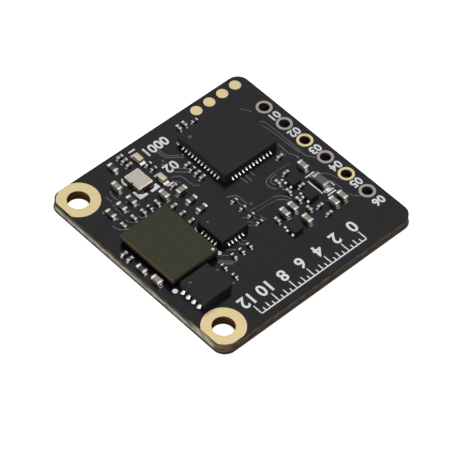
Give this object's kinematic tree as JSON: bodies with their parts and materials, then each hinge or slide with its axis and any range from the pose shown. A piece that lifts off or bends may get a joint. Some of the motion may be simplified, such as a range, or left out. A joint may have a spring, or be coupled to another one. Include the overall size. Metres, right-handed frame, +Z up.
{
  "type": "microwave radar sensor module",
  "caption": "Square radar sensor board with an antenna-in-package radar chip, leadless chips, crystal, chip parts, mounting holes and a header row.",
  "frame": {"origin": "under the middle of the board, level with the lands that it lies on", "axes": "+X from the edge with the mounting holes to the edge with the header holes, +Y towards the edge with the test pads, +Z up through the board to the parts on it"},
  "size_m": [0.0218, 0.0216, 0.002],
  "materials": {
    "solder_mask": "gloss",
    "gold_plating": "satin",
    "solder": "satin",
    "tin_plating": "satin",
    "moulding_compound": "matte",
    "package_laminate": "satin",
    "capacitor_ceramic": "matte",
    "resistor_glaze": "gloss",
    "ferrite": "matte",
    "dark_ceramic": "matte",
    "nickel_lid": "satin",
    "lamp_resin": "satin",
    "lamp_base": "matte"
  },
  "bodies": {
    "root": {"choke_body": "ferrite", "choke_end_caps": "tin_plating", "choke_solder": "solder", "circuit_board": "solder_mask", "crystal_base": "dark_ceramic", "crystal_lid": "nickel_lid", "crystal_seal_ring": "gold_plating", "crystal_solder": "solder", "header_hole_plating_1": "gold_plating", "header_hole_plating_2": "gold_plating", "header_hole_plating_3": "gold_plating", "header_hole_plating_4": "gold_plating", "header_hole_plating_5": "gold_plating", "header_hole_plating_6": "gold_plating", "indicator_1_base": "lamp_base", "indicator_1_lens": "lamp_resin", "indicator_2_base": "lamp_base", "indicator_2_lens": "lamp_resin", "indicator_solder": "solder", "indicator_terminals": "tin_plating", "interface_chip_body": "moulding_compound", "interface_chip_ground_pad": "tin_plating", "interface_chip_leads": "tin_plating", "interface_chip_solder": "solder", "large_capacitor_bodies": "capacitor_ceramic", "large_capacitor_end_caps": "tin_plating", "large_capacitor_solder": "solder", "large_resistor_bodies": "resistor_glaze", "large_resistor_end_caps": "tin_plating", "large_resistor_solder": "solder", "memory_chip_body": "moulding_compound", "memory_chip_ground_pad": "tin_plating", "memory_chip_leads": "tin_plating", "memory_chip_solder": "solder", "mounting_hole_plating_1": "gold_plating", "mounting_hole_plating_2": "gold_plating", "processor_body": "moulding_compound", "processor_ground_pad": "tin_plating", "processor_leads": "tin_plating", "processor_solder": "solder", "radar_package": "package_laminate", "radar_pin_one_mark": "gold_plating", "radar_solder_balls": "solder", "regulator_1_body": "moulding_compound", "regulator_2_body": "moulding_compound", "regulator_3_body": "moulding_compound", "regulator_leads": "tin_plating", "regulator_solder": "solder", "small_capacitor_bodies": "capacitor_ceramic", "small_capacitor_end_caps": "tin_plating", "small_capacitor_solder": "solder", "small_resistor_bodies": "resistor_glaze", "small_resistor_end_caps": "tin_plating", "small_resistor_solder": "solder", "test_pad_1": "gold_plating", "test_pad_2": "gold_plating", "test_pad_3": "gold_plating", "test_pad_4": "gold_plating"}
  },
  "joints": []
}
